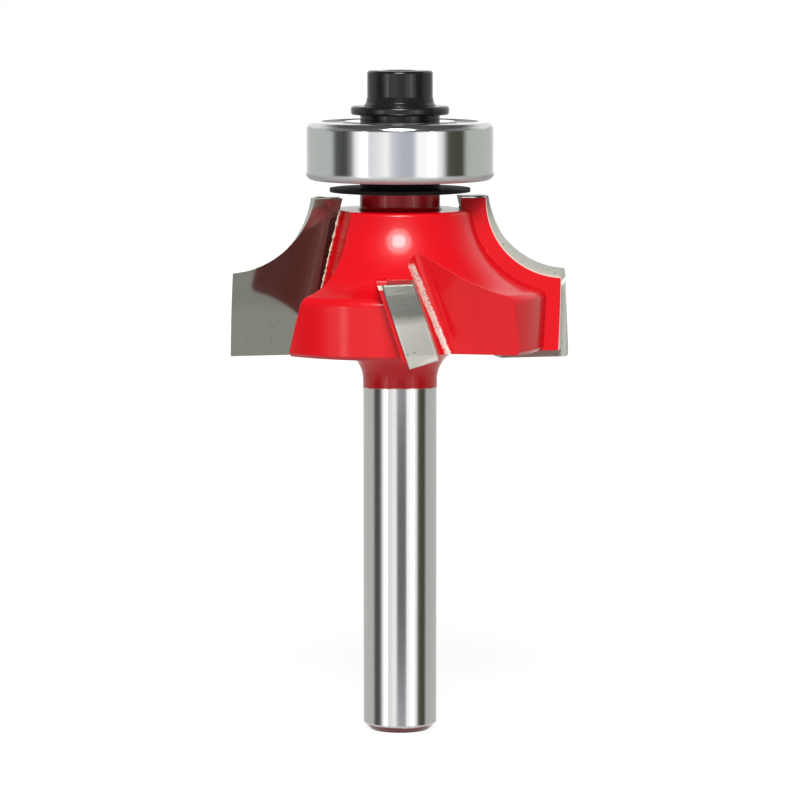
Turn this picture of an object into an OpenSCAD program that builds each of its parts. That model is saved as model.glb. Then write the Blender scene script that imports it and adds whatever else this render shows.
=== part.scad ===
// Roundover router bit with four brazed cutters and a ball bearing pilot.
// The shank's end is on the origin and the bearing is at the top, along +Z.
// Seen from the bearing end, the bit turns counter-clockwise.

/* [Shank] */
// Diameter of the shank
shank_d = 6.35; // [5.5:0.05:7.5]
// Length from the end of the shank to the lower edge of the long cutters
shank_l = 32.3; // [24:0.1:45]
// Chamfer at the end of the shank
shank_chamfer = 0.65; // [0.2:0.05:0.9]

/* [Cutting profile] */
// Radius of the roundover
round_r = 6.35; // [4.5:0.05:8]
// Height of the straight edge below the roundover
land_h = 7.2; // [5:0.1:10]
// How far the roundover ends inside the bearing's radius
undercut = 0.19; // [0.05:0.01:0.4]
// Width of the ledge between the roundover and the straight edge
ledge_w = 0.28; // [0.05:0.01:0.6]

/* [Body] */
// Gap from the roundover back to the flared body behind it
flare_gap = 1.7; // [1.2:0.05:2.4]
// Gap from the cutting circle to the body's straight band
band_gap = 1.94; // [1.4:0.02:2.6]
// Height of the body's underside over the lower edge of the long cutters
under_h = 0.7; // [0.4:0.05:1.5]
// Fillet from the shank into the underside
under_fillet = 2.8; // [1.5:0.1:3.5]
// Chamfer on the lower edge of the band
band_chamfer = 0.3; // [0.1:0.05:0.6]
// Rounding between the flare and the band
flare_round = 0.8; // [0.3:0.05:1.2]
// Drop from the top of the long cutters to the body's shoulder
shoulder_drop = 1.05; // [0.5:0.05:2]
// Rounding on the edge of the shoulder
shoulder_round = 0.35; // [0.1:0.05:0.6]
// Diameter of the neck under the dust shield
neck_d = 6.85; // [6:0.05:8]
// Height of the neck over the shoulder
neck_h = 1.5; // [1.2:0.05:2.5]
// Fillet at the foot of the neck
neck_fillet = 0.35; // [0.1:0.05:0.6]

/* [Long cutters] */
// Hook angle of the long rake faces
long_hook = 14; // [8:1:25]
// Shear angle of the long rake faces, top leading
long_shear = 16; // [8:1:20]
// Slope of the inner edge of the long plates within the rake face
long_lean = 6.5; // [3:0.5:9]
// How far the lower corner of the long edge leads the axis
long_lead = 1; // [0:0.1:2]
// Thickness of the long plates
long_t = 1.8; // [1.4:0.05:2.4]
// Width of the long plates at their lower end
long_w = 6.5; // [6:0.05:7.2]
// Thickness of the steel behind the long plates
long_back = 1.75; // [1.2:0.05:3]
// Clearance angle behind the cutting edges
relief_a = 12; // [6:1:16]

/* [Short cutters] */
// Shear angle of the short rake faces, bottom leading
short_shear = 18.2; // [8:0.2:22]
// How far the short rake face leads the axis at the lower edge of the long cutters
short_lead = 3.5; // [2.5:0.1:4.2]
// Thickness of the short plates
short_t = 2.1; // [1.6:0.05:2.6]
// Depth of the short plates from the cutting edge inwards
short_w = 4.3; // [3:0.1:5.2]
// Height of the lower end of the short plates
short_z0 = 0.95; // [0.8:0.05:2]
// Height of the bevel at the upper end of the short plates
short_bevel = 0.9; // [0.3:0.05:1.5]
// How far that bevel leans in at its top
bevel_in = 0.25; // [0.1:0.05:0.6]
// Width of the steel behind the short plates
short_back = 0.8; // [0.8:0.1:3]

/* [Gullets] */
// Radius of the round gullet in front of each long cutter
gullet_r = 7; // [6:0.1:8]
// Lean of that gullet within the rake face
gullet_lean = 9; // [6:0.5:11]
// Distance of the gullet's axis in front of the rake face
gullet_front = 1.4; // [0.8:0.1:2.4]
// Distance of the gullet's foot outside the long edge's lower corner
gullet_out = 0.05; // [-0.4:0.05:0.6]
// Depth of the flat in front of each short cutter, from the axis
flat_y = 5.1; // [4.6:0.1:6]
// Lean of that flat, receding downwards
flat_lean = 10.6; // [4:0.2:14]
// Turn of that flat about the axis
flat_turn = 12.4; // [4:0.2:18]
// Fillet between the flat and the short rake face
flat_fillet = 1.2; // [0.5:0.1:2]

/* [Bearing] */
// Outer diameter of the bearing
bearing_od = 16.05; // [14:0.05:19]
// Bore of the bearing
bearing_bore = 4.7625; // [4.2:0.0125:5.2]
// Width of the bearing
bearing_w = 4.978; // [4.6:0.01:6]
// Corner rounding of the outer ring
bearing_round = 0.65; // [0.2:0.05:0.8]
// Diameter of the balls
ball_d = 2.381; // [2:0.01:2.6]
// Number of balls
ball_n = 8; // [6:1:9]
// Gap between the shoulders of the two rings
ring_gap = 1.74; // [1.5:0.02:2]
// How far the balls' circle lies outside the middle of the bearing's section
pitch_out = 0.36; // [0.2:0.02:0.5]
// Thickness of the shields
shield_t = 0.2; // [0.15:0.01:0.3]
// Depth of the shields below the ring faces
shield_in = 0.18; // [0.1:0.01:0.3]
// Radial running gap of the balls in each race
race_gap = 0.02; // [0.01:0.005:0.04]

/* [Pilot clamp] */
// Outer diameter of the dust shield under the bearing
dust_d = 12; // [10:0.05:13]
// Thickness of the dust shield
dust_t = 0.3; // [0.2:0.05:0.4]
// Height of the dust shield's hub
dust_hub = 0.7; // [0.6:0.05:1.2]
// Outer diameter of the spacer ring over the bearing and of the hub under it
spacer_d = 6.8; // [6.2:0.05:7.4]
// Thickness of the spacer ring
spacer_t = 0.55; // [0.2:0.05:0.8]
// Outer diameter of the clamp washer
washer_d = 8.4; // [7.4:0.05:9]
// Thickness of the clamp washer
washer_t = 0.75; // [0.4:0.05:1]
// Diameter of the pilot screw
screw_d = 3; // [2.5:0.1:3.2]
// Length of the pilot screw under its head
screw_l = 8; // [6:0.5:8.5]
// Diameter of the screw's head
head_d = 5.6; // [4.8:0.1:6]
// Height of the screw's head
head_h = 3; // [2:0.1:3.5]
// Width across the flats of the hex socket
hex_af = 2.5; // [2:0.1:3]
// Depth of the hex socket
hex_depth = 1.5; // [1:0.1:1.8]
// Radial clearance of pieces that slip over the stud or the screw
slip = 0.01; // [0.005:0.005:0.03]

/* [Hidden] */
$fn = 96;

// The heights below are over the lower edge of the long cutters.
arc_r = bearing_od / 2 - undercut + round_r;
cut_r = arc_r + ledge_w;
top_z = land_h + round_r;
flare_r = round_r + flare_gap;
band_r = cut_r - band_gap;
shoulder_z = top_z - shoulder_drop;
neck_z = shoulder_z + neck_h;
bearing_z = neck_z + dust_t + dust_hub;
screw_z = bearing_z + bearing_w + spacer_t + washer_t;
stud_top = bearing_z + bearing_w - 0.2;
stud_r = bearing_bore / 2 - slip;
far = 3 * cut_r;

// The steel behind the plates is turned smaller than the cutting profile.
back_in = 0.45;
back_land = 0.7;
back_r = cut_r - back_land;

// The short cutters end just over the ledge.
short_z1 = land_h + 0.05;

// The bearing's raceways are a little wider than the balls.
pitch_r = (bearing_bore + bearing_od) / 4 + pitch_out;
inner_r = pitch_r - ring_gap / 2;
outer_r = pitch_r + ring_gap / 2;
groove_r = 0.53 * ball_d;
seat_r = outer_r + 0.25;
shield_gap = 0.15;

// A rake plane is [hook, shear, lead]. It belongs to a cutter on the +X side.
long_rake = [long_hook, long_shear, long_lead];
short_rake = [0, -short_shear, short_lead];

function foot(f) = [sqrt(cut_r * cut_r - f[2] * f[2]), f[2], 0];
function forward(f) = [-sin(f[0]) * cos(f[1]), cos(f[0]) * cos(f[1]), -sin(f[1])];

// A point of the rake plane's own frame: x outwards, y forwards, z along the plate
function placed(f, lean, v) =
    let (x = v.x * cos(lean) - v.z * sin(lean), z = v.x * sin(lean) + v.z * cos(lean),
         y = v.y * cos(f[1]) + z * sin(f[1]))
    foot(f) + [x * cos(f[0]) - y * sin(f[0]), x * sin(f[0]) + y * cos(f[0]),
               z * cos(f[1]) - v.y * sin(f[1])];

// Where the cutting profile's point at radius r and height z meets the rake plane
function edge(f, r, z) =
    let (b = tan(f[0]), a = f[2] - b * foot(f).x + z * tan(f[1]) / cos(f[0]),
         x = (sqrt((1 + b * b) * r * r - a * a) - a * b) / (1 + b * b))
    [x, a + b * x, z];

// The same point carried back to the plate's rear face, with clearance along m
function cleared(f, p, m, t) =
    let (r = norm([p.x, p.y]), d = -cos(relief_a) * [-p.y / r, p.x / r, 0]
         - sin(relief_a) * [m[0] * p.x / r, m[0] * p.y / r, m[1]])
    p - d * t / (d * forward(f));

// The plate's inner corner at height z, on a plane q behind the rake plane
function inner(f, lean, w, q, z) =
    placed(f, lean, [-w, -q, ((z - q * sin(f[1])) / cos(f[1]) + w * sin(lean)) / cos(lean)]);

// A solid between a front outline and a rear outline, from pairs of points.
// The first pair is the inner lower corner, which sees all the others.
module plate(pairs) {
    n = len(pairs);
    polyhedron(points = [for (side = [0, 1], q = pairs) q[side]],
        faces = concat([for (i = [1 : n - 2]) [0, i, i + 1]],
            [for (i = [1 : n - 2]) [n, n + i + 1, n + i]],
            [for (i = [0 : n - 1]) let (j = (i + 1) % n) [i, n + i, j]],
            [for (i = [0 : n - 1]) let (j = (i + 1) % n) [j, n + i, n + j]]));
}

// Heights that divide a straight edge into short stretches
function heights(z0, z1, count) = [for (i = [0 : count]) z0 + (z1 - z0) * i / count];

// The frame of a rake plane, for whole shapes
module rake_frame(f, lean)
    translate(foot(f)) rotate([0, 0, f[0]]) rotate([-f[1], 0, 0]) rotate([0, -lean, 0])
        children();

// Two opposite copies about the axis
module both() for (a = [0, 180]) rotate([0, 0, a]) children();

// Rounds an outer corner: c is the centre, a and b point to its two tangent points
module round_corner(c, r, a, b) {
    k = 3 * r;
    difference() {
        children();
        translate(c) polygon([[0, 0], a * k, (a + b) * k, b * k]);
    }
    translate(c) circle(r);
}

// Direction from a rounding's centre to the centre of the flare
function to_flare(c) = let (v = [arc_r, top_z] - c) v / norm(v);

// Half section of the turned body with its shank, neck and stud
module body_section() {
    s = shank_d / 2;
    c1x = band_r - flare_round;
    c1 = [c1x, top_z - sqrt(pow(flare_r + flare_round, 2) - pow(arc_r - c1x, 2))];
    c2z = shoulder_z - shoulder_round;
    c2 = [arc_r - sqrt(pow(flare_r + shoulder_round, 2) - pow(top_z - c2z, 2)), c2z];
    round_corner(c2, shoulder_round, [0, 1], to_flare(c2))
    round_corner(c1, flare_round, [1, 0], to_flare(c1))
    difference() {
        translate([0, under_h]) square([band_r, shoulder_z - under_h]);
        translate([arc_r, top_z]) circle(flare_r, $fn = 192);
        translate([band_r, under_h]) rotate(45) square(band_chamfer * sqrt(2), center = true);
    }
    polygon([[0, -shank_l], [s - shank_chamfer, -shank_l], [s, -shank_l + shank_chamfer],
             [s, under_h], [0, under_h]]);
    difference() {
        translate([0, under_h - under_fillet]) square([s + under_fillet, under_fillet]);
        translate([s + under_fillet, under_h - under_fillet]) circle(under_fillet);
    }
    difference() {
        translate([0, shoulder_z]) square([neck_d / 2 + neck_fillet, neck_fillet]);
        translate([neck_d / 2 + neck_fillet, shoulder_z + neck_fillet]) circle(neck_fillet);
    }
    translate([0, shoulder_z]) square([neck_d / 2, neck_h]);
    translate([0, neck_z]) square([stud_r, stud_top - neck_z]);
}

// Half section of the steel behind the long plates
module wing_section() difference() {
    translate([0, under_h]) square([back_r, top_z - 0.03 - under_h]);
    translate([arc_r, top_z]) circle(round_r + back_in, $fn = 192);
}

module long_wing() intersection() {
    rotate_extrude() wing_section();
    rake_frame(long_rake, long_lean) translate([-long_w, -long_t - long_back, -far])
        cube([far, long_t + long_back, 2 * far]);
}

module short_wing() intersection() {
    translate([0, 0, under_h]) cylinder(r = back_r, h = short_z1 - under_h);
    rake_frame(short_rake, 0) translate([-cut_r / 2, -short_t - short_back, -cut_r])
        cube([cut_r, short_t + short_back + 0.5, 2 * cut_r]);
}

// The seat of a long plate and the round gullet in front of it
module long_cuts() {
    tall = (top_z + 1) / cos(long_shear);
    rake_frame(long_rake, long_lean) translate([-long_w, -long_t, -under_fillet])
        cube([far, long_t + 0.3, tall + under_fillet]);
    rake_frame(long_rake, gullet_lean) intersection() {
        translate([gullet_out, gullet_front, -2 * under_fillet])
            cylinder(r = gullet_r, h = tall + 2 * under_fillet + gullet_r / 3);
        translate([-far, 0, -far]) cube([2 * far, far, 2 * far]);
    }
}

// The frame of the corner between the flat and the short rake plane, x along the flat
module flat_frame(phi) translate([flat_y + tan(flat_turn) * short_lead, short_lead, 0])
    rotate([short_shear, 0, 0]) rotate([0, phi, 0]) children();

// The flat chip gullet in front of a short plate, filleted at its corner
module flat_cut() {
    turn = tan(flat_turn);
    lean = tan(flat_lean);
    s = short_shear;
    phi = atan((lean - turn * tan(s)) * cos(s));
    psi = atan2(turn * cos(s) + lean * sin(s),
                cos(phi) + sin(phi) * (lean * cos(s) - turn * sin(s)));
    k = flat_fillet / tan((90 - psi) / 2);
    low = 2 * under_fillet;
    tall = low + top_z;
    difference() {
        intersection() {
            flat_frame(phi) translate([0, 0, -low]) cube([far, far, tall]);
            flat_frame(phi) rotate([0, 0, -psi]) translate([0, 0, -2 * low])
                cube([far, far, tall + 2 * low]);
        }
        intersection() {
            flat_frame(phi) translate([-1, -1, -2 * low]) cube([1 + k, far, tall + 2 * low]);
            flat_frame(phi) rotate([0, 0, -psi]) translate([-1, -1, -3 * low])
                cube([far, 1 + k, tall + 4 * low]);
        }
    }
    flat_frame(phi) translate([k, flat_fillet, -low]) cylinder(r = flat_fillet, h = tall);
}

// The seat of a short plate and the gullet in front of it
module short_cuts() {
    rake_frame(short_rake, 0) translate([-short_w, -short_t, -under_fillet])
        cube([far, short_t + 0.3, 2 * cut_r]);
    flat_cut();
}

module cutter_body() color("crimson") translate([0, 0, shank_l]) difference() {
    union() {
        rotate_extrude() body_section();
        both() long_wing();
        rotate([0, 0, 90]) both() short_wing();
    }
    both() long_cuts();
    rotate([0, 0, 90]) both() short_cuts();
    translate([0, 0, screw_z - screw_l - 0.6])
        cylinder(r = screw_d / 2 + slip, h = screw_l);
}

module long_cutter() {
    f = long_rake;
    steps = 28;
    outline = concat([for (z = heights(0, land_h, 12)) [cut_r, z, 1, z < land_h ? 0 : 1]],
        [[arc_r, land_h, max(0, 1 - ledge_w / (long_t * tan(relief_a))), 1]],
        [for (i = [1 : steps]) let (a = 90 * i / steps)
            [arc_r - round_r * sin(a), top_z - round_r * cos(a), sin(a), cos(a)]]);
    color("dimgray") translate([0, 0, shank_l])
        plate(concat([[for (q = [0, long_t]) inner(f, long_lean, long_w, q, 0)]],
            [for (o = outline) let (p = edge(f, o[0], o[1]))
                [p, cleared(f, p, [o[2], o[3]], long_t)]],
            [[for (q = [0, long_t]) inner(f, long_lean, long_w, q, top_z)]]));
}

module short_cutter() {
    f = short_rake;
    low = short_z0 / cos(short_shear);
    foot_x = edge(f, cut_r, short_z0).x - foot(f).x;
    bevel_z = short_z1 - short_bevel;
    outline = concat([for (z = heights(short_z0, bevel_z, 12)) if (z > short_z0) [cut_r, z]],
        [for (z = heights(bevel_z, short_z1, 3)) if (z > bevel_z)
            [cut_r - bevel_in * (z - bevel_z) / short_bevel, z]]);
    color("gray") translate([0, 0, shank_l])
        plate(concat([[for (q = [0, short_t]) placed(f, 0, [-short_w, -q, low])]],
            [[for (q = [0, short_t]) placed(f, 0, [foot_x - q * tan(relief_a), -q, low])]],
            [for (o = outline) let (p = edge(f, o[0], o[1]))
                [p, cleared(f, p, [1, 0], short_t)]],
            [[for (q = [0, short_t]) inner(f, 0, short_w, q, short_z1)]]));
}

module ring(r0, r1, h) rotate_extrude() translate([r0, 0]) square([r1 - r0, h]);

module dust_shield() color("darkslategray") translate([0, 0, shank_l + neck_z]) {
    rotate_extrude() {
        translate([stud_r + slip, 0]) square([spacer_d / 2 - stud_r - slip, dust_t + dust_hub]);
        translate([stud_r + slip, 0]) square([dust_d / 2 - stud_r - slip, dust_t]);
    }
}

// Places a piece of the bearing, with z from its lower face
module in_bearing() translate([0, 0, shank_l + bearing_z]) children();

module race(x) translate([x, bearing_w / 2]) circle(groove_r);

module bearing_inner_ring() color("silver") in_bearing() rotate_extrude() difference() {
    translate([bearing_bore / 2, 0]) square([inner_r - bearing_bore / 2, bearing_w]);
    race(pitch_r - ball_d / 2 - race_gap + groove_r);
}

module bearing_outer_ring() color("silver") in_bearing() rotate_extrude() difference() {
    r = bearing_round;
    union() {
        translate([outer_r, 0]) square([bearing_od / 2 - outer_r - r, bearing_w]);
        translate([outer_r, r]) square([bearing_od / 2 - outer_r, bearing_w - 2 * r]);
        for (z = [r, bearing_w - r]) translate([bearing_od / 2 - r, z]) circle(r);
    }
    race(pitch_r + ball_d / 2 + race_gap - groove_r);
    for (z = [-1, bearing_w - shield_in - shield_t])
        translate([0, z]) square([seat_r, 1 + shield_in + shield_t]);
}

module bearing_shield(z) color("lightgray") in_bearing() translate([0, 0, z])
    ring(inner_r + shield_gap, seat_r - slip, shield_t);

module bearing_cage() color("goldenrod") in_bearing() difference() {
    wall = 0.35;
    translate([0, 0, bearing_w / 2 - ball_d * 0.66])
        ring(pitch_r - wall, pitch_r + wall, ball_d * 0.86);
    for (i = [1 : ball_n]) ball_place(i) sphere(ball_d / 2 + 0.06);
}

module ball_place(i) rotate([0, 0, i * 360 / ball_n])
    translate([pitch_r, 0, bearing_w / 2]) children();

module bearing_ball(i) color("whitesmoke") in_bearing() ball_place(i) sphere(ball_d / 2);

module spacer_ring() color("black") translate([0, 0, shank_l + bearing_z + bearing_w])
    ring(screw_d / 2 + slip, spacer_d / 2, spacer_t);

module clamp_washer() color("black")
    translate([0, 0, shank_l + bearing_z + bearing_w + spacer_t])
    rotate_extrude() difference() {
        r = washer_t / 3;
        union() {
            translate([0, 0]) square([washer_d / 2 - r, washer_t]);
            translate([0, r]) square([washer_d / 2, washer_t - 2 * r]);
            for (z = [r, washer_t - r]) translate([washer_d / 2 - r, z]) circle(r);
        }
        square([screw_d / 2 + slip, 2 * washer_t]);
    }

module pilot_screw() color("black") translate([0, 0, shank_l + screw_z]) {
    r = head_d / 2;
    e = 0.25;
    difference() {
        union() {
            rotate_extrude() {
                square([r - e, head_h]);
                square([r, head_h - e]);
                translate([r - e, head_h - e]) circle(e);
                polygon([[0, 0], [r + 0.3, 0], [r + 0.1, 0.3], [r, 0.8], [0, 0.8]]);
            }
            translate([0, 0, -screw_l]) cylinder(r = screw_d / 2, h = screw_l);
        }
        translate([0, 0, head_h - hex_depth])
            cylinder(r = hex_af / sqrt(3), h = hex_depth + 1, $fn = 6);
        translate([0, 0, head_h - 0.15])
            cylinder(r1 = hex_af / 2 + 0.05, r2 = hex_af / 2 + 0.35, h = 0.3);
    }
}

cutter_body();
long_cutter();  // long_cutter_right
rotate([0, 0, 180]) long_cutter();  // long_cutter_left
rotate([0, 0, 90]) short_cutter();  // short_cutter_rear
rotate([0, 0, -90]) short_cutter();  // short_cutter_front
dust_shield();
bearing_inner_ring();
bearing_outer_ring();
bearing_shield(shield_in);  // bearing_shield_lower
bearing_shield(bearing_w - shield_in - shield_t);  // bearing_shield_upper
bearing_cage();
for (i = [1 : ball_n])
    bearing_ball(i);
spacer_ring();
clamp_washer();
pilot_screw();
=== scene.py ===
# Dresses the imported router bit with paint, ground carbide, steel and black oxide,
# adds the brazed joints, and sets it up in a small studio.
import math
import random

import bmesh
import bpy
from mathutils import Matrix, Vector


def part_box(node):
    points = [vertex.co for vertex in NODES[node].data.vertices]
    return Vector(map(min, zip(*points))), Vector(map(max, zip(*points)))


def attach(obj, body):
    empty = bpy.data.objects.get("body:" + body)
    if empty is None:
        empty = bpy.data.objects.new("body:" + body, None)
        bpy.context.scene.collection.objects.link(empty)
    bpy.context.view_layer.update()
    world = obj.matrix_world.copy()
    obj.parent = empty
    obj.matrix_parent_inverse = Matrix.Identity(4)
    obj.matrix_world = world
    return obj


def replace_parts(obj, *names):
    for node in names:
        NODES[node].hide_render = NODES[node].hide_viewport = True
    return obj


bl_info = {
    "name": "Router bit dressing",
    "version": (1, 0, 0),
    "blender": (4, 5, 0),
    "location": "3D View > Sidebar > Router Bit",
    "description": "Finishes and studio for a roundover router bit with a bearing pilot",
    "category": "Object",
}

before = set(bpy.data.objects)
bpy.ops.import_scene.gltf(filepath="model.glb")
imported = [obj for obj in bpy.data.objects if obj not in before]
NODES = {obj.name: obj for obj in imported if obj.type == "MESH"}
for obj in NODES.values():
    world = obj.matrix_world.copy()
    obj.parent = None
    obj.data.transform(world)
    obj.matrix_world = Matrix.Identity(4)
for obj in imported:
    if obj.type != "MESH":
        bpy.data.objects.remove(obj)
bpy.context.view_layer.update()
MM = 0.001

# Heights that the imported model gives
EDGE_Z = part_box("long_cutter_right")[0][2]
TOP_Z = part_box("long_cutter_right")[1][2]
BEARING_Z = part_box("bearing_outer_ring")[0][2]

# The corner between the flat and the short rake face, seen from the front
CORNER_TOP = (0.95 * MM, EDGE_Z + 8.35 * MM)
CORNER_LOW = EDGE_Z + 0.3 * MM
CORNER_SLOPE = 0.405
# The bare stripe in it: half its width, and how far from the axis it starts and is full
STRIPE_HALF = 0.26 * MM
STRIPE_OUTSIDE = (6.0 * MM, 6.2 * MM)

# The ground curve of the long cutters over their lower edge, as the photograph shows it:
# radius of the centre, height of the centre, radius of the curve, and the cutting circle
GROUND = (14.856 * MM, 14.29 * MM, 7.05 * MM, 14.465 * MM)
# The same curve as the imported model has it, without the circle
MODELLED = (14.185 * MM, 13.55 * MM, 6.35 * MM)
# Just under the ledge where that curve starts, and outside the plates' inner top corners
LEDGE = EDGE_Z + 7.19 * MM
INNER_CORNER = 6.5 * MM
# The steel behind them: radius of its curve about the modelled centre, and of its land
WING_CURVE = 6.80 * MM
WING_LAND = 13.765 * MM
HOOK = math.radians(14)
SHEAR = math.radians(16)
OUTWARD = Vector((math.cos(HOOK), math.sin(HOOK), 0))
BACKWARD = Vector((math.sin(HOOK), -math.cos(HOOK), 0))
FORWARD = Vector((-math.sin(HOOK) * math.cos(SHEAR), math.cos(HOOK) * math.cos(SHEAR),
                  -math.sin(SHEAR)))
# The same for the front short plate, which faces to the right
SHORT_LEAN = math.radians(18.2)
SHORT_FORWARD = Vector((math.cos(SHORT_LEAN), 0, math.sin(SHORT_LEAN)))

# The steel that is carried inwards behind a long plate: where it starts and ends behind
# the plate's edge, how far it overlaps the wing, how deep it goes, and how far under
# the wing's top it stays
HEEL_FROM, HEEL_TO = 1.95 * MM, 3.70 * MM
HEEL_OVERLAP, HEEL_DEPTH, HEEL_UNDER = 0.9 * MM, 6.5 * MM, 0.03 * MM

# The braze: how far it stands before a rake face, how much of that face's inner edge it
# covers, how far behind the plate's rear curve it lies, and how far it sinks in there
BEAD_PROUD, BEAD_COVER = 0.05 * MM, 0.93
REAR_OFF, REAR_SUNK = 0.42 * MM, 0.03 * MM
# Corners round a bead, and the length of its pieces over its radius
BEAD_SIDES, BEAD_STEP = 8, 1.6

# Points this close to a level lie on it, and points this close together are one
ON_LEVEL = 0.01 * MM
SAME_POINT = 0.0005 * MM
# Edges that turn by more than this stay sharp
SHARP = math.radians(28)


def length(name, description, default):
    """A setting in metres"""
    return bpy.props.FloatProperty(
        name=name, description=description, default=default, min=0.0,
        subtype="DISTANCE", unit="LENGTH", precision=5)


def colour(name, description, default):
    """A setting with a linear colour"""
    return bpy.props.FloatVectorProperty(
        name=name, description=description, default=default, size=3,
        min=0.0, max=1.0, subtype="COLOR")


def share(name, description, default, top=1.0):
    """A plain number from 0 to top"""
    return bpy.props.FloatProperty(
        name=name, description=description, default=default, min=0.0, max=top)


class PaintSettings(bpy.types.PropertyGroup):
    red: colour("Red", "Colour of the paint", (0.72, 0.0, 0.006))
    roughness: share("Roughness", "Roughness of the paint under its gloss", 0.38)
    peel: length("Orange peel", "Height of the ripples in the paint", 0.004 * MM)
    neck_edge: length("Paint edge", "Height where the paint ends on the shank",
                      EDGE_Z - 2.75 * MM)
    edge_tilt: share("Edge tilt", "Slope of the paint's edge, higher in front", 0.054)
    dip: length("Dipped end", "Height of the painted end of the shank", 0.50 * MM)


class SteelSettings(bpy.types.PropertyGroup):
    shank: colour("Shank", "Colour of the ground shank", (0.70, 0.70, 0.69))
    bearing: colour("Bearing", "Colour of the bearing rings", (0.72, 0.73, 0.73))
    shield: colour("Shields", "Colour of the bearing shields", (0.52, 0.53, 0.52))
    carbide: colour("Carbide", "Colour of the ground carbide", (0.27, 0.272, 0.235))
    braze: colour("Braze", "Colour of the brazing alloy", (0.80, 0.62, 0.48))
    black: colour("Black oxide", "Colour of the blackened pieces", (0.006, 0.007, 0.0065))


class JointSettings(bpy.types.PropertyGroup):
    long_bead: length("Long beads", "Radius of the braze beside the long plates", 0.12 * MM)
    rear_bead: length("Rear beads", "Radius of the braze behind the long plates", 0.17 * MM)
    short_bead: length("Short beads", "Radius of the braze beside the short plates", 0.08 * MM)
    reach: length("Reach", "How far the long plates reach in at their tops", 0.75 * MM)
    thicker: length("Thicker", "How much thicker the short plates are", 0.42 * MM)
    heel: length("Heel", "How far the steel behind them reaches in", 1.36 * MM)


class StageSettings(bpy.types.PropertyGroup):
    camera_distance: length("Camera distance", "From the aim point to the camera", 0.35212)
    camera_height: bpy.props.FloatProperty(
        name="Camera elevation", description="Angle of the camera above the horizon",
        default=math.radians(6.287), subtype="ANGLE")
    aim: length("Aim height", "Height of the aim point on the axis", 0.02844)
    lens: bpy.props.FloatProperty(
        name="Lens", description="Focal length on a 36 mm sensor, in millimetres",
        default=185.12, min=20)
    key_power: share("Key strength", "Power of the round lamp in front, in watts", 1.75, 200.0)
    key_size: length("Key size", "Diameter of the round lamp in front", 0.27)
    core_power: share("Core strength", "Power of the lamp's bright middle, in watts", 0.95, 200.0)
    core_size: length("Core size", "Diameter of the lamp's bright middle", 0.13)
    ambient: share("Ambient", "Strength of the light all round", 0.32, 3.0)


def add(tree, kind, inputs=None, **settings):
    """Adds a node, sets its properties, and sets or links its inputs"""
    node = tree.nodes.new(kind)
    for name, value in settings.items():
        setattr(node, name, value)
    for name, value in (inputs or {}).items():
        if isinstance(value, bpy.types.NodeSocket):
            tree.links.new(value, node.inputs[name])
        else:
            node.inputs[name].default_value = value
    return node


def maths(tree, operation, *values, clamp=False):
    """The result of one operation on sockets or plain values"""
    return add(tree, "ShaderNodeMath", dict(enumerate(values)),
               operation=operation, use_clamp=clamp).outputs[0]


def hypotenuse(tree, one, two):
    """The length whose two parts at right angles are given"""
    return maths(tree, "SQRT", maths(tree, "ADD", maths(tree, "MULTIPLY", one, one),
                                     maths(tree, "MULTIPLY", two, two)))


def ramp(tree, factor, stops):
    """A colour along a factor, from stops that are pairs of position and colour"""
    node = add(tree, "ShaderNodeValToRGB", {"Fac": factor})
    elements = node.color_ramp.elements
    while len(elements) < len(stops):
        elements.new(0.5)
    for element, (position, value) in zip(elements, stops):
        element.position = position
        element.color = (*value, 1)
    return node.outputs["Color"]


def grey(value):
    return (value, value, value)


def new_material(name, **sockets):
    """A material with one Principled shader whose plain values are given by name"""
    material = bpy.data.materials.new(name)
    material.use_nodes = True
    tree = material.node_tree
    shader = tree.nodes["Principled BSDF"]
    for key, value in sockets.items():
        socket = shader.inputs[key.replace("_", " ")]
        socket.default_value = (*value, 1) if hasattr(value, "__len__") else value
    return material, tree, shader


def empty_material(name):
    """A material without nodes, and its tree"""
    material = bpy.data.materials.new(name)
    material.use_nodes = True
    material.node_tree.nodes.clear()
    return material, material.node_tree


def place(tree):
    """Object coordinates in metres, and their parts"""
    coords = add(tree, "ShaderNodeTexCoord").outputs["Object"]
    parts = add(tree, "ShaderNodeSeparateXYZ", {"Vector": coords}).outputs
    return coords, parts["X"], parts["Y"], parts["Z"]


def noise(tree, vector, scale, detail=3.0):
    """Soft noise, with scale in cells per metre"""
    return add(tree, "ShaderNodeTexNoise",
               {"Vector": vector, "Scale": scale, "Detail": detail}).outputs["Fac"]


def drawn_lines(tree, coords, thinner, scale, detail):
    """Noise that is thinner along the axis, so that it gives lines round it"""
    stretched = add(tree, "ShaderNodeMapping",
                    {"Vector": coords, "Scale": (1.0, 1.0, thinner)}).outputs[0]
    return noise(tree, stretched, scale, detail)


def step(tree, value, start, end):
    """0 before start, 1 after end"""
    return add(tree, "ShaderNodeMapRange",
               {"Value": value, "From Min": start, "From Max": end}).outputs["Result"]


def rounded_edges(tree, radius):
    """The normal with edges rounded to a radius"""
    return add(tree, "ShaderNodeBevel", {"Radius": radius}, samples=6).outputs[0]


def bump(tree, height, distance, normal=None):
    """The normal over bumps of a distance in metres"""
    inputs = {"Height": height, "Distance": distance, "Strength": 1.0}
    if normal:
        inputs["Normal"] = normal
    return add(tree, "ShaderNodeBump", inputs).outputs["Normal"]


def dress(node, material):
    """Gives a CAD node its material"""
    if not NODES[node].material_slots:
        NODES[node].data.materials.append(material)
    for slot in NODES[node].material_slots:
        slot.material = material


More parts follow.
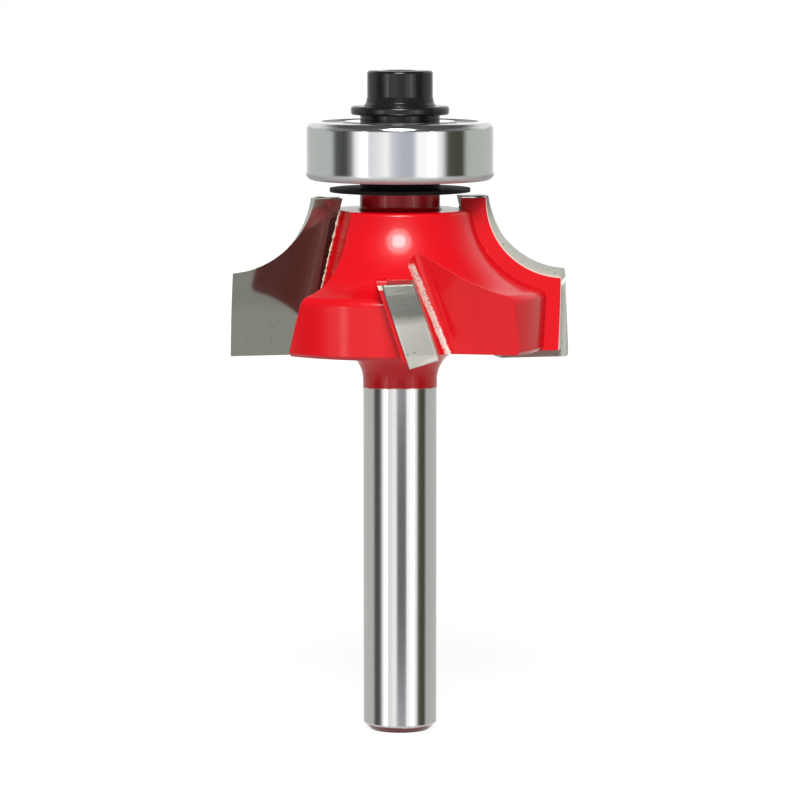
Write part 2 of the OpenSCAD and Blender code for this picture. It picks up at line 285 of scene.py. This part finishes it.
def mix_colour(tree, factor, first, second):
    """The first colour at factor 0 and the second at 1, as sockets or plain values"""
    node = add(tree, "ShaderNodeMix", data_type="RGBA")
    for socket, value in ((node.inputs[0], factor), (node.inputs[6], first),
                          (node.inputs[7], second)):
        if isinstance(value, bpy.types.NodeSocket):
            tree.links.new(value, socket)
        else:
            socket.default_value = (*value, 1) if hasattr(value, "__len__") else value
    return node.outputs[2]


# The paint: how far its edges wander, how they fade at the neck and at the dipped end,
# how dark its clouds are, and its gloss
PAINT_RAGGED, NECK_FADE, DIP_FADE = 0.25 * MM, 0.04 * MM, 0.03 * MM
PAINT_CLOUDED, PAINT_SPECULAR = 0.86, 0.20
COAT_WEIGHT, COAT_ROUGHNESS, COAT_IOR = 0.55, 0.12, 1.45
# Bare steel with braze on it, its pale colour partly a painted highlight, and how far from the
# axis the wings' bare tops start
BARE_EDGE_AND_HIGHLIGHT = (0.90, 0.70, 0.62)
TOP_INSIDE = (4.2 * MM, 4.3 * MM)


def painted_steel(paint, steel):
    """Red paint on the body, bare ground steel on the shank and on the wings' tops"""
    material, tree, shader = new_material("painted body")
    coords, x, y, z = place(tree)
    radius = hypotenuse(tree, x, y)
    ragged = maths(tree, "MULTIPLY", maths(tree, "SUBTRACT", noise(tree, coords, 900), 0.5),
                   PAINT_RAGGED)
    height = maths(tree, "ADD", z, ragged)
    tilted = maths(tree, "ADD", height, maths(tree, "MULTIPLY", y, paint.edge_tilt))
    above = step(tree, tilted, paint.neck_edge - NECK_FADE, paint.neck_edge + NECK_FADE)
    below = step(tree, height, paint.dip + DIP_FADE, paint.dip - DIP_FADE)
    wing_top = band(tree, z, TOP_Z - 0.05 * MM, TOP_Z + 1 * MM, 0.01 * MM)
    wing_top = maths(tree, "MULTIPLY", wing_top, step(tree, radius, *TOP_INSIDE))
    corner = maths(tree, "MAXIMUM", ground_corner(tree, coords, x, y, z),
                   ground_wing(tree, radius, y, z))
    ground = maths(tree, "MAXIMUM", wing_top, corner)
    painted = maths(tree, "MULTIPLY", maths(tree, "MAXIMUM", above, below),
                    maths(tree, "SUBTRACT", 1.0, ground))
    tone = mix_colour(tree, noise(tree, coords, 350, 4), paint.red,
                      [c * PAINT_CLOUDED for c in paint.red])
    tone = mix_colour(tree, below, tone, [c * 0.22 + 0.02 for c in paint.red])
    grain = drawn_lines(tree, coords, 60.0, 260, 3)
    bare = mix_colour(tree, grain, steel.shank, [c * 0.9 for c in steel.shank])
    # The bare stripes and edges take a pale colour with little metal, partly a painted highlight
    bare = mix_colour(tree, corner, bare, BARE_EDGE_AND_HIGHLIGHT)
    tree.links.new(mix_colour(tree, painted, bare, tone), shader.inputs["Base Color"])
    tree.links.new(maths(tree, "SUBTRACT", maths(tree, "SUBTRACT", 1.0, painted),
                         maths(tree, "MULTIPLY", ground, 0.75), clamp=True),
                   shader.inputs["Metallic"])
    tree.links.new(maths(tree, "ADD", maths(tree, "MULTIPLY", painted, paint.roughness - 0.14),
                         maths(tree, "ADD", 0.12, maths(tree, "MULTIPLY", grain, 0.06))),
                   shader.inputs["Roughness"])
    tree.links.new(maths(tree, "MULTIPLY", painted, COAT_WEIGHT), shader.inputs["Coat Weight"])
    shader.inputs["Coat Roughness"].default_value = COAT_ROUGHNESS
    shader.inputs["Coat IOR"].default_value = COAT_IOR
    shader.inputs["Specular IOR Level"].default_value = PAINT_SPECULAR
    ripples = maths(tree, "MULTIPLY", noise(tree, coords, 1100, 2), painted)
    normal = bump(tree, ripples, paint.peel, rounded_edges(tree, 0.10 * MM))
    tree.links.new(normal, shader.inputs["Normal"])
    tree.links.new(normal, shader.inputs["Coat Normal"])
    return material


def band(tree, value, start, end, soft):
    """1 between start and end, 0 outside, with soft edges"""
    return maths(tree, "MULTIPLY", step(tree, value, start - soft, start + soft),
                 step(tree, value, end + soft, end - soft))


def ground_corner(tree, coords, x, y, z):
    """The speckled bare stripe that grinding leaves in the corner beside each short plate, whose
    pale colour is partly a painted highlight
    """
    side = maths(tree, "SIGN", maths(tree, "MULTIPLY", y, -1.0))
    across = maths(tree, "MULTIPLY", x, side)
    line = maths(tree, "MULTIPLY", maths(tree, "SUBTRACT", CORNER_TOP[1], z), CORNER_SLOPE)
    off = maths(tree, "SUBTRACT", across, maths(tree, "ADD", line, CORNER_TOP[0]))
    ragged = maths(tree, "MULTIPLY", maths(tree, "SUBTRACT", noise(tree, coords, 4000), 0.5),
                   0.30 * MM)
    stripe = band(tree, maths(tree, "ADD", off, ragged), -STRIPE_HALF, STRIPE_HALF, 0.05 * MM)
    high = band(tree, z, CORNER_LOW, CORNER_TOP[1], 0.15 * MM)
    outside = step(tree, maths(tree, "ABSOLUTE", y), *STRIPE_OUTSIDE)
    specks = step(tree, noise(tree, coords, 6500, 2), 0.34, 0.46)
    return maths(tree, "MULTIPLY", maths(tree, "MULTIPLY", stripe, specks),
                 maths(tree, "MULTIPLY", high, outside))


def ground_wing(tree, radius, y, z):
    """The bare edges of the steel behind the long plates"""
    across = maths(tree, "SUBTRACT", radius, MODELLED[0])
    up = maths(tree, "SUBTRACT", z, EDGE_Z + MODELLED[1])
    away = hypotenuse(tree, across, up)
    curve = maths(tree, "MULTIPLY", band(tree, away, WING_CURVE - 0.3 * MM,
                                         WING_CURVE + 0.07 * MM, 0.02 * MM),
                  step(tree, up, 0.5 * MM, 0.4 * MM))
    land = maths(tree, "MULTIPLY", step(tree, radius, WING_LAND - 0.07 * MM,
                                        WING_LAND - 0.03 * MM),
                 step(tree, maths(tree, "ABSOLUTE", y), 6.1 * MM, 6.0 * MM))
    return maths(tree, "MAXIMUM", curve, land)


# Between these heights a ground face changes from its upper tint to a lower one that is a painted
# reflection
REFLECTION_FROM, REFLECTION_TO = EDGE_Z + 5.6 * MM, EDGE_Z + 4.6 * MM
# The tints of the ground flanks: of the long plates, and the painted reflection low on the short
# ones
LONG_FLANK = (0.43, 0.44, 0.385)
SHORT_FLANK_REFLECTION = (0.74, 0.72, 0.64)
BRASS = (0.78, 0.56, 0.26)


def ground_carbide(steel, name, upper, lower, clouded=0.84, rough=0.06, soft=0.03 * MM,
                   metal=0.9):
    """Carbide with fine grinding lines, faint clouds, a few dark pores and a painted reflection
    that tints it lower down
    """
    material, tree, shader = new_material(name, Metallic=metal)
    coords, x, y, z = place(tree)
    lines = drawn_lines(tree, coords, 14.0, 700, 3)
    cells = add(tree, "ShaderNodeTexVoronoi", {"Vector": coords, "Scale": 1300}).outputs[0]
    pore = step(tree, cells, 0.10, 0.06)
    clouds = noise(tree, coords, 260, 3)
    base = mix_colour(tree, clouds, upper, [c * clouded for c in upper])
    edge = maths(tree, "ADD", z, maths(tree, "MULTIPLY", clouds, 1.6 * MM))
    # Below the given heights the face takes its lower tint, a painted reflection
    base = mix_colour(tree, step(tree, edge, REFLECTION_FROM, REFLECTION_TO), base, lower)
    tree.links.new(mix_colour(tree, pore, base, [c * 0.45 for c in steel.carbide]),
                   shader.inputs["Base Color"])
    tree.links.new(maths(tree, "ADD", rough, maths(tree, "MULTIPLY", lines, 0.07)),
                   shader.inputs["Roughness"])
    tree.links.new(bump(tree, lines, 0.0006 * MM, rounded_edges(tree, soft)),
                   shader.inputs["Normal"])
    return material


def turned_steel(name, tint, rough, grain_height, matt_below=0.0):
    """Steel with fine lines round the axis, matt below a height"""
    material, tree, shader = new_material(name, Metallic=1.0)
    coords, x, y, z = place(tree)
    lines = drawn_lines(tree, coords, 60.0, 220, 4)
    matt = step(tree, z, matt_below + 0.12 * MM, matt_below - 0.12 * MM)
    base = mix_colour(tree, lines, tint, [c * 0.9 for c in tint])
    tree.links.new(mix_colour(tree, matt, base, [c * 0.7 for c in tint]),
                   shader.inputs["Base Color"])
    tree.links.new(bump(tree, lines, grain_height), shader.inputs["Normal"])
    tree.links.new(maths(tree, "SUBTRACT", 1.0, maths(tree, "MULTIPLY", matt, 0.6)),
                   shader.inputs["Metallic"])
    tree.links.new(maths(tree, "ADD", maths(tree, "MULTIPLY", matt, 0.35),
                         maths(tree, "ADD", rough, maths(tree, "MULTIPLY", lines, 0.08))),
                   shader.inputs["Roughness"])
    return material


def black_oxide(steel, name, rough, gloss):
    """Blackened steel with a faint oily sheen and mottling"""
    material, tree, shader = new_material(name, Metallic=0.0, Specular_IOR_Level=gloss)
    coords, x, y, z = place(tree)
    spots = noise(tree, coords, 900, 4)
    tree.links.new(mix_colour(tree, spots, steel.black, [c * 2.0 for c in steel.black]),
                   shader.inputs["Base Color"])
    tree.links.new(maths(tree, "ADD", rough, maths(tree, "MULTIPLY", spots, 0.12)),
                   shader.inputs["Roughness"])
    tree.links.new(bump(tree, spots, 0.001 * MM, rounded_edges(tree, 0.06 * MM)),
                   shader.inputs["Normal"])
    return material


class BIT_OT_paint_body(bpy.types.Operator):
    """Paint the body red and leave the shank bare"""
    bl_idname = "router_bit.paint_body"
    bl_label = "Paint the body"

    def execute(self, context):
        dress("cutter_body", painted_steel(context.scene.bit_paint, context.scene.bit_steel))
        return {"FINISHED"}


def add_piece(name, bm, material):
    """A finished piece that rides on the cutter, smooth but for its sharp edges"""
    bmesh.ops.recalc_face_normals(bm, faces=bm.faces)
    for polygon in bm.faces:
        polygon.smooth = True
    mesh = bpy.data.meshes.new(name)
    bm.to_mesh(mesh)
    bm.free()
    mesh.set_sharp_from_angle(angle=SHARP)
    mesh.materials.append(material)
    piece = bpy.data.objects.new(name, mesh)
    bpy.context.scene.collection.objects.link(piece)
    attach(piece, "cutter")
    return piece


def curve_radius(curve, height):
    """The cutting curve's distance from the axis at a height over the lower edge"""
    return curve[0] - math.sqrt(max(0.0, curve[2] ** 2 - (curve[1] - height) ** 2))


def outward_step(point):
    """How far a point of the right cutter's curve moves outwards, within the rake face"""
    height, radius = point.z - EDGE_Z, math.hypot(point.x, point.y)
    more = curve_radius(GROUND, height) - curve_radius(MODELLED, height)
    target = max(radius, min(radius + more, GROUND[3]))
    along = point.dot(OUTWARD)
    return math.sqrt(along * along - radius * radius + target * target) - along


def move_outline(bm, normal, front_move, half):
    """Moves the front outline's points by front_move, and the rear ones with their partners"""
    own = {v: turned(v.co, half) for v in bm.verts}
    level = max(p.dot(normal) for p in own.values()) - 2 * ON_LEVEL
    moves = {v: front_move(p) for v, p in own.items() if p.dot(normal) > level}
    reach = max(math.hypot(p.x, p.y) for v, p in own.items() if v not in moves)
    for v, p in own.items():
        if v in moves:
            v.co = turned(p + moves[v], half)
            continue
        partners = [e.other_vert(v) for e in v.link_edges if e.other_vert(v) in moves]
        partner = min(partners, key=lambda o: (own[o] - p).length)
        p = p + moves[partner]
        scale = min(1.0, reach / math.hypot(p.x, p.y))
        v.co = turned(Vector((p.x * scale, p.y * scale, p.z)), half)


def bead(bm, points, radius, seed):
    """An uneven bead of solder along a path"""
    draw = random.Random(seed)
    path = []
    for first, second in zip(points, points[1:]):
        count = max(1, round((second - first).length / (BEAD_STEP * radius)))
        path += [first.lerp(second, i / count) for i in range(count)]
    path.append(points[-1])
    rings = []
    for i, centre in enumerate(path):
        along = (path[min(i + 1, len(path) - 1)] - path[max(i - 1, 0)]).normalized()
        side = along.orthogonal().normalized()
        other = along.cross(side)
        size = radius * draw.uniform(0.45, 1.25) * (0.3 if i in (0, len(path) - 1) else 1)
        centre = centre + side * radius * draw.uniform(-0.25, 0.25)
        rings.append([bm.verts.new(centre + size * (side * math.cos(a) + other * math.sin(a)))
                      for a in (2 * math.pi * k / BEAD_SIDES for k in range(BEAD_SIDES))])
    for one, two in zip(rings, rings[1:]):
        for k in range(BEAD_SIDES):
            after = (k + 1) % BEAD_SIDES
            bm.faces.new((one[k], one[after], two[after], two[k]))
    bm.faces.new(rings[0])
    bm.faces.new(rings[-1])


def node_points(node):
    """The corner points of a CAD node, in the row frame"""
    world = NODES[node].matrix_world
    return [world @ v.co for v in NODES[node].data.vertices]


def turned(point, half):
    """The point itself, or turned half round the axis"""
    return Vector((-point.x, -point.y, point.z)) if half else point.copy()


class BIT_OT_grind_cutters(bpy.types.Operator):
    """Grind the four cutters, the long ones to the curve that the photograph shows"""
    bl_idname = "router_bit.grind_cutters"
    bl_label = "Grind the cutters"

    def execute(self, context):
        steel = context.scene.bit_steel
        joints = context.scene.bit_joints
        # The long plates' faces turn slightly lighter low down, a painted reflection
        carbide = ground_carbide(steel, "ground carbide", steel.carbide,
                                 [c * 1.05 for c in steel.carbide])
        relief = ground_carbide(steel, "ground relief", LONG_FLANK, LONG_FLANK,
                                clouded=0.9, rough=0.36, soft=0.05 * MM, metal=0.3)
        # The short plates' flanks turn much lighter low down, a painted reflection
        relief_short = ground_carbide(steel, "short relief", steel.carbide, SHORT_FLANK_REFLECTION,
                                      rough=0.26, soft=0.25 * MM)
        for node, half in (("short_cutter_front", False), ("short_cutter_rear", True)):
            bm = bmesh.new()
            bm.from_mesh(NODES[node].data)
            bm.transform(NODES[node].matrix_world)
            bmesh.ops.remove_doubles(bm, verts=bm.verts, dist=SAME_POINT)
            level = max(turned(v.co, half).dot(SHORT_FORWARD) for v in bm.verts) - 1 * MM
            for v in bm.verts:
                if turned(v.co, half).dot(SHORT_FORWARD) < level:
                    v.co -= turned(SHORT_FORWARD * joints.thicker, half)
            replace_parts(add_piece("ground_" + node, bm, relief_short), node)

        def long_move(point):
            if point.z > TOP_Z - ON_LEVEL and point.x < INNER_CORNER:
                return -OUTWARD * joints.reach
            if point.z > LEDGE:
                return OUTWARD * outward_step(point)
            return Vector((0, 0, 0))

        for node, half in (("long_cutter_right", False), ("long_cutter_left", True)):
            bm = bmesh.new()
            bm.from_mesh(NODES[node].data)
            bm.transform(NODES[node].matrix_world)
            bmesh.ops.remove_doubles(bm, verts=bm.verts, dist=SAME_POINT)
            move_outline(bm, FORWARD, long_move, half)
            bmesh.ops.remove_doubles(bm, verts=bm.verts, dist=SAME_POINT)
            bm.normal_update()
            face = turned(FORWARD, half)
            for polygon in bm.faces:
                polygon.material_index = int(polygon.normal.dot(face) < 0.95)
            piece = add_piece("ground_" + node, bm, carbide)
            piece.data.materials.append(relief)
            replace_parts(piece, node)
        return {"FINISHED"}


class BIT_OT_lengthen_wings(bpy.types.Operator):
    """Carry the steel behind the long plates inwards at the wings' tops"""
    bl_idname = "router_bit.lengthen_wings"
    bl_label = "Lengthen the wings"

    def execute(self, context):
        joints = context.scene.bit_joints
        paint = NODES["cutter_body"].material_slots[0].material
        corner = min((p for p in node_points("long_cutter_right") if p.z > TOP_Z - ON_LEVEL),
                     key=lambda p: p.x)
        front = Vector((corner.x, corner.y, 0)) + BACKWARD * HEEL_FROM
        rear = Vector((corner.x, corner.y, 0)) + BACKWARD * HEEL_TO
        foot = [front - OUTWARD * joints.reach, rear - OUTWARD * joints.heel,
                rear + OUTWARD * HEEL_OVERLAP, front + OUTWARD * HEEL_OVERLAP]
        for name, half in (("wing_heel_right", False), ("wing_heel_left", True)):
            bm = bmesh.new()
            rings = [[bm.verts.new(turned(p + BACKWARD * fall * math.tan(SHEAR)
                                          + Vector((0, 0, TOP_Z - HEEL_UNDER - fall)), half))
                      for p in foot] for fall in (0, HEEL_DEPTH)]
            bm.faces.new(rings[0])
            bm.faces.new(rings[1])
            for k in range(4):
                bm.faces.new((rings[0][k], rings[0][(k + 1) % 4],
                              rings[1][(k + 1) % 4], rings[1][k]))
            add_piece(name, bm, paint)
        return {"FINISHED"}


class BIT_OT_braze_plates(bpy.types.Operator):
    """Lay the uneven beads of braze beside the plates"""
    bl_idname = "router_bit.braze_plates"
    bl_label = "Braze the plates"

    def execute(self, context):
        joints = context.scene.bit_joints
        material, tree, shader = new_material(
            "braze", Base_Color=context.scene.bit_steel.braze, Metallic=0.55, Roughness=0.32)
        coords, x, y, z = place(tree)
        tree.links.new(bump(tree, noise(tree, coords, 2500), 0.02 * MM), shader.inputs["Normal"])
        right = node_points("long_cutter_right")
        low = min((p for p in right if p.z < EDGE_Z + ON_LEVEL), key=lambda p: p.x)
        high = min((p for p in right if p.z > TOP_Z - ON_LEVEL), key=lambda p: p.x)
        low, high = low + FORWARD * BEAD_PROUD, high + FORWARD * BEAD_PROUD
        high -= OUTWARD * joints.reach
        high = low.lerp(high, BEAD_COVER)
        # The rear curve: above the ledge, well behind the rake face and outside the corner
        rear = sorted({tuple(round(c, 7) for c in p) for p in right
                       if p.z > EDGE_Z + 7.5 * MM and p.x > 7 * MM
                       and (p - high).dot(FORWARD) < -1.2 * MM},
                      key=lambda p: p[2])
        behind = []
        for p in (Vector(q) for q in rear):
            radius = math.hypot(p.x, p.y)
            away = Vector((radius - MODELLED[0], p.z - EDGE_Z - MODELLED[1])).normalized()
            move = Vector((p.x / radius * away.x, p.y / radius * away.x, away.y))
            move = (move - FORWARD * move.dot(FORWARD)).normalized()
            behind.append(p + move * REAR_OFF - FORWARD * REAR_SUNK)
        for name, half in (("braze_long_right", False), ("braze_long_left", True)):
            bm = bmesh.new()
            bead(bm, [turned(p, half) for p in (low, high)], joints.long_bead, 5)
            bead(bm, [turned(p, half) for p in behind], joints.rear_bead, 8)
            add_piece(name, bm, material)
        front = node_points("short_cutter_front")
        foot = min(front, key=lambda p: p.z - p.y)
        head = max(front, key=lambda p: p.z - 2 * p.x - p.y)
        foot, head = (p - SHORT_FORWARD * joints.thicker for p in (foot, head))
        for name, half in (("braze_short_front", False), ("braze_short_rear", True)):
            bm = bmesh.new()
            bead(bm, [turned(p, half) for p in (foot, head)], joints.short_bead, 11)
            add_piece(name, bm, material)
        return {"FINISHED"}


class BIT_OT_finish_bearing(bpy.types.Operator):
    """Polish the bearing's rings and give the shields, cage and balls their metals"""
    bl_idname = "router_bit.finish_bearing"
    bl_label = "Finish the bearing"

    def execute(self, context):
        steel = context.scene.bit_steel
        ring = turned_steel("polished ring", steel.bearing, 0.08, 0.0003 * MM,
                            BEARING_Z + 0.6 * MM)
        shield = turned_steel("pressed shield", steel.shield, 0.28, 0.0006 * MM)
        brass = turned_steel("cage brass", BRASS, 0.25, 0.0004 * MM)
        for node in NODES:
            if node.startswith("bearing_shield"):
                dress(node, shield)
            elif node == "bearing_cage":
                dress(node, brass)
            elif node.startswith("bearing_"):
                dress(node, ring)
        return {"FINISHED"}


class BIT_OT_blacken_clamp(bpy.types.Operator):
    """Blacken the screw, the washer, the spacer and the dust shield"""
    bl_idname = "router_bit.blacken_clamp"
    bl_label = "Blacken the clamp"

    def execute(self, context):
        black = black_oxide(context.scene.bit_steel, "black oxide", 0.13, 0.40)
        for node in ("pilot_screw", "clamp_washer", "spacer_ring"):
            dress(node, black)
        dress("dust_shield", black_oxide(context.scene.bit_steel, "dull black", 0.45, 0.12))
        return {"FINISHED"}


def flat_sheet(name, size, material):
    """A square sheet at height 0, with half its side as its size"""
    mesh = bpy.data.meshes.new(name)
    bm = bmesh.new()
    bmesh.ops.create_grid(bm, x_segments=1, y_segments=1, size=size)
    bm.to_mesh(mesh)
    bm.free()
    mesh.materials.append(material)
    sheet = bpy.data.objects.new(name, mesh)
    bpy.context.scene.collection.objects.link(sheet)
    return sheet


# What the polished steel reflects, by the angle round the axis from the camera to
# the right: pairs of degrees and brightness
REFLECTED = [(-180, (1.15, 1.15, 1.15)), (-162, (1.05, 1.05, 1.05)), (-150, (0.62, 0.64, 0.61)),
             (-92, (0.60, 0.62, 0.59)), (-85, (0.12, 0.13, 0.12)), (-70, (0.07, 0.07, 0.07)),
             (-62, (0.26, 0.26, 0.28)), (-55, (1.25, 1.25, 1.25)), (-48, (1.3, 1.3, 1.3)),
             (-46, (4.0, 4.0, 4.0)), (-43, (4.0, 4.0, 4.0)), (-40, (0.85, 0.85, 0.90)),
             (-28, (1.05, 1.05, 1.05)), (-16, (1.3, 1.3, 1.3)), (-9, (0.80, 0.80, 0.86)),
             (4, (0.60, 0.62, 0.68)), (16, (0.58, 0.60, 0.66)), (22, (1.4, 1.4, 1.4)),
             (36, (1.3, 1.3, 1.3)), (38, (3.5, 3.5, 3.5)), (41, (3.5, 3.5, 3.5)),
             (44, (1.25, 1.25, 1.25)), (52, (1.1, 1.1, 1.1)), (60, (0.10, 0.10, 0.07)),
             (82, (0.07, 0.07, 0.05)), (90, (0.58, 0.60, 0.56)), (150, (0.62, 0.64, 0.61)),
             (162, (1.05, 1.05, 1.05)), (180, (1.15, 1.15, 1.15))]

# The same for what comes from higher up, where only the back is bright
OVERHEAD = [(-180, grey(1.0)), (-125, grey(0.95)), (-95, grey(0.30)), (-40, grey(0.12)),
            (40, grey(0.12)), (95, grey(0.30)), (125, grey(0.95)), (180, grey(1.0))]
# More than any panel's brightness, as a ramp's colours end at 1
BRIGHTEST = 8.0

# Upward parts of a direction between which the room changes to what is overhead,
# to the dark ceiling and to the floor, and the last two's brightness
TO_OVERHEAD, TO_CEILING, TO_FLOOR = (0.15, 0.25), (0.50, 0.72), (-0.30, -0.60)
CEILING, FLOOR = 0.10, 0.75

# The floor for the camera: its own glow near the object, the distances in which that
# rises to 1, and its grey, and the floor's grey for all other rays
FLOOR_GLOW = 0.90
GLOW_RISES = (0.03, 0.30)
FLOOR_DIM, FLOOR_PLAIN = 0.16, 0.55


def floor_material():
    """White, with the object's faint shadow"""
    material, tree = empty_material("studio floor")
    seen = add(tree, "ShaderNodeLightPath").outputs["Is Camera Ray"]
    coords, x, y, z = place(tree)
    away = step(tree, hypotenuse(tree, x, y), *GLOW_RISES)
    strength = maths(tree, "ADD", FLOOR_GLOW, maths(tree, "MULTIPLY", away, 1 - FLOOR_GLOW))
    plain = add(tree, "ShaderNodeBsdfDiffuse", {"Color": (*grey(FLOOR_PLAIN), 1)}).outputs[0]
    glow = add(tree, "ShaderNodeEmission", {"Color": (1, 1, 1, 1), "Strength": strength})
    dim = add(tree, "ShaderNodeBsdfDiffuse", {"Color": (*grey(FLOOR_DIM), 1)}).outputs[0]
    white = add(tree, "ShaderNodeAddShader", {0: glow.outputs[0], 1: dim}).outputs[0]
    mixed = add(tree, "ShaderNodeMixShader", {0: seen, 1: plain, 2: white}).outputs[0]
    add(tree, "ShaderNodeOutputMaterial", {"Surface": mixed})
    return material


# A dark card in front, low down, that only the shank reflects
FLAG_CENTRE = (0.026, -0.247, -0.020)
FLAG_SIZE = (0.125, 0.045)
FLAG_TINT = (0.13, 0.135, 0.13)


def flag_material():
    """A dark grey that no lamp changes"""
    material, tree = empty_material("studio flag")
    dark = add(tree, "ShaderNodeEmission", {"Color": (*FLAG_TINT, 1)}).outputs[0]
    add(tree, "ShaderNodeOutputMaterial", {"Surface": dark})
    return material


def studio_world(ambient):
    """White for the camera, even light on paint, and a tall room of panels in reflections"""
    world = bpy.data.worlds.new("studio")
    world.use_nodes = True
    tree = world.node_tree
    tree.nodes.clear()
    rays = add(tree, "ShaderNodeLightPath").outputs
    direction = add(tree, "ShaderNodeTexCoord").outputs["Generated"]
    x, y, z = add(tree, "ShaderNodeSeparateXYZ", {"Vector": direction}).outputs
    angle = maths(tree, "ARCTAN2", x, maths(tree, "MULTIPLY", y, -1.0))
    turn = maths(tree, "ADD", maths(tree, "DIVIDE", angle, 2 * math.pi), 0.5)
    panels, over = (ramp(tree, turn, [((a + 180) / 360, [c / BRIGHTEST for c in v])
                                      for a, v in stops]) for stops in (REFLECTED, OVERHEAD))
    room = mix_colour(tree, step(tree, z, *TO_OVERHEAD), panels, over)
    room = mix_colour(tree, step(tree, z, *TO_CEILING), room, grey(CEILING / BRIGHTEST))
    room = mix_colour(tree, step(tree, z, *TO_FLOOR), room, grey(FLOOR / BRIGHTEST))
    mirrored = add(tree, "ShaderNodeBackground", {"Color": room, "Strength": BRIGHTEST})
    lit = maths(tree, "MULTIPLY", ambient, rays["Is Diffuse Ray"])
    plain = add(tree, "ShaderNodeBackground",
                {"Color": (1, 1, 1, 1),
                 "Strength": maths(tree, "MAXIMUM", rays["Is Camera Ray"], lit)})
    glossy = maths(tree, "MAXIMUM", rays["Is Glossy Ray"], rays["Is Transmission Ray"])
    mixed = add(tree, "ShaderNodeMixShader",
                {0: glossy, 1: plain.outputs[0], 2: mirrored.outputs[0]})
    add(tree, "ShaderNodeOutputWorld", {"Surface": mixed.outputs[0]})
    bpy.context.scene.world = world


# Where the lamp and its bright middle stand: angle to the right of the camera, angle
# above the horizon, distances, and the height at which they aim
LAMP_AZIMUTH, LAMP_ELEVATION = math.radians(-2), math.radians(44)
KEY_DISTANCE, CORE_DISTANCE = 0.50, 0.49
LAMP_AIM = EDGE_Z + 9 * MM


def round_lamp(name, distance, diameter, power):
    """A round lamp that aims at the body"""
    lamp = bpy.data.lights.new(name, "AREA")
    lamp.shape = "DISK"
    lamp.size = diameter
    lamp.energy = power
    holder = bpy.data.objects.new(name, lamp)
    level = distance * math.cos(LAMP_ELEVATION)
    aim = Vector((0, 0, LAMP_AIM))
    place_at = aim + Vector((level * math.sin(LAMP_AZIMUTH), -level * math.cos(LAMP_AZIMUTH),
                             distance * math.sin(LAMP_ELEVATION)))
    holder.location = place_at
    holder.rotation_euler = (place_at - aim).to_track_quat("Z", "Y").to_euler()
    bpy.context.scene.collection.objects.link(holder)


class BIT_OT_set_stage(bpy.types.Operator):
    """Set the floor, the room, the lamp and the camera"""
    bl_idname = "router_bit.set_stage"
    bl_label = "Set the stage"

    def execute(self, context):
        stage = context.scene.bit_stage
        scene = context.scene
        floor = flat_sheet("studio_floor", 3.0, floor_material())
        floor.visible_glossy = False
        flag = flat_sheet("studio_flag", 0.5, flag_material())
        flag.data.transform(Matrix.Translation(FLAG_CENTRE) @ Matrix.Rotation(math.pi / 2, 4, "X")
                            @ Matrix.Diagonal((*FLAG_SIZE, 1, 1)))
        for kind in ("camera", "diffuse", "shadow", "transmission", "volume_scatter"):
            setattr(flag, "visible_" + kind, False)
        studio_world(stage.ambient)
        round_lamp("key lamp", KEY_DISTANCE, stage.key_size, stage.key_power)
        round_lamp("key core", CORE_DISTANCE, stage.core_size, stage.core_power)
        camera = bpy.data.cameras.new("camera")
        camera.lens = stage.lens
        camera.sensor_width = 36
        camera.clip_start = 0.01
        holder = bpy.data.objects.new("camera", camera)
        rise = stage.camera_height
        holder.location = (0, -stage.camera_distance * math.cos(rise),
                           stage.aim + stage.camera_distance * math.sin(rise))
        holder.rotation_euler = (math.pi / 2 - rise, 0, 0)
        scene.collection.objects.link(holder)
        scene.camera = holder
        scene.view_settings.view_transform = "Standard"
        return {"FINISHED"}


class BIT_PT_pieces(bpy.types.Panel):
    """Lists the pieces and the stage"""
    bl_idname = "BIT_PT_pieces"
    bl_label = "Router Bit"
    bl_space_type = "VIEW_3D"
    bl_region_type = "UI"
    bl_category = "Router Bit"

    def draw(self, context):
        for operator in OPERATORS:
            self.layout.operator(operator.bl_idname)


SETTINGS = {"bit_paint": PaintSettings, "bit_steel": SteelSettings,
            "bit_joints": JointSettings, "bit_stage": StageSettings}
OPERATORS = (BIT_OT_paint_body, BIT_OT_lengthen_wings, BIT_OT_grind_cutters,
             BIT_OT_braze_plates, BIT_OT_finish_bearing, BIT_OT_blacken_clamp,
             BIT_OT_set_stage)


def register():
    for group in (*SETTINGS.values(), *OPERATORS, BIT_PT_pieces):
        bpy.utils.register_class(group)
    for name, group in SETTINGS.items():
        setattr(bpy.types.Scene, name, bpy.props.PointerProperty(type=group))


def unregister():
    for name in SETTINGS:
        delattr(bpy.types.Scene, name)
    for group in (BIT_PT_pieces, *reversed(OPERATORS), *reversed(list(SETTINGS.values()))):
        bpy.utils.unregister_class(group)


def main():
    """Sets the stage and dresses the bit"""
    register()
    bpy.ops.router_bit.set_stage()
    bpy.ops.router_bit.paint_body()
    bpy.ops.router_bit.lengthen_wings()
    bpy.ops.router_bit.grind_cutters()
    bpy.ops.router_bit.braze_plates()
    bpy.ops.router_bit.finish_bearing()
    bpy.ops.router_bit.blacken_clamp()


if __name__ == "__main__":
    main()
